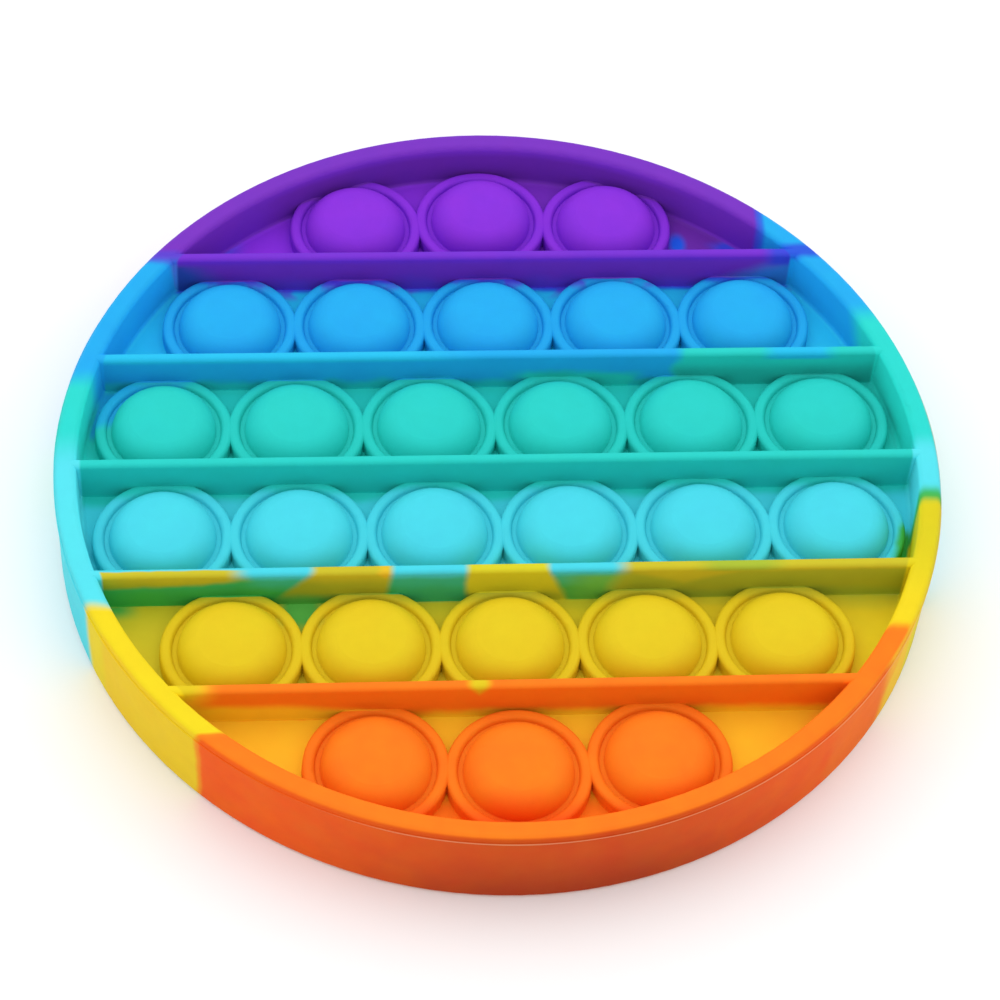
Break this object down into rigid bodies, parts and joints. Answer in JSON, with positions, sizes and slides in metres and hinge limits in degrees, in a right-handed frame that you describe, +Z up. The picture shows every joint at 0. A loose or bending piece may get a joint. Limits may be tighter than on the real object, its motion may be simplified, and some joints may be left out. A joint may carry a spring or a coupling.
{
  "type": "bubble pop fidget toy",
  "caption": "Round silicone bubble pop fidget toy: rows of hollow domes in raised collars between straight ribs, inside a deep rim, in rainbow bands of colour.",
  "frame": {"origin": "centre of the underside, on the surface that the rim stands on", "axes": "+Z up out of the popped-up bubbles, X along the ribs, +Y from the orange side to the purple side"},
  "size_m": [0.125, 0.125, 0.015],
  "materials": {
    "silicone": "matte silicone rubber, moulded in bands from purple through blue, turquoise and yellow to orange"
  },
  "bodies": {
    "root": {"bubble_board": "silicone"}
  },
  "joints": []
}
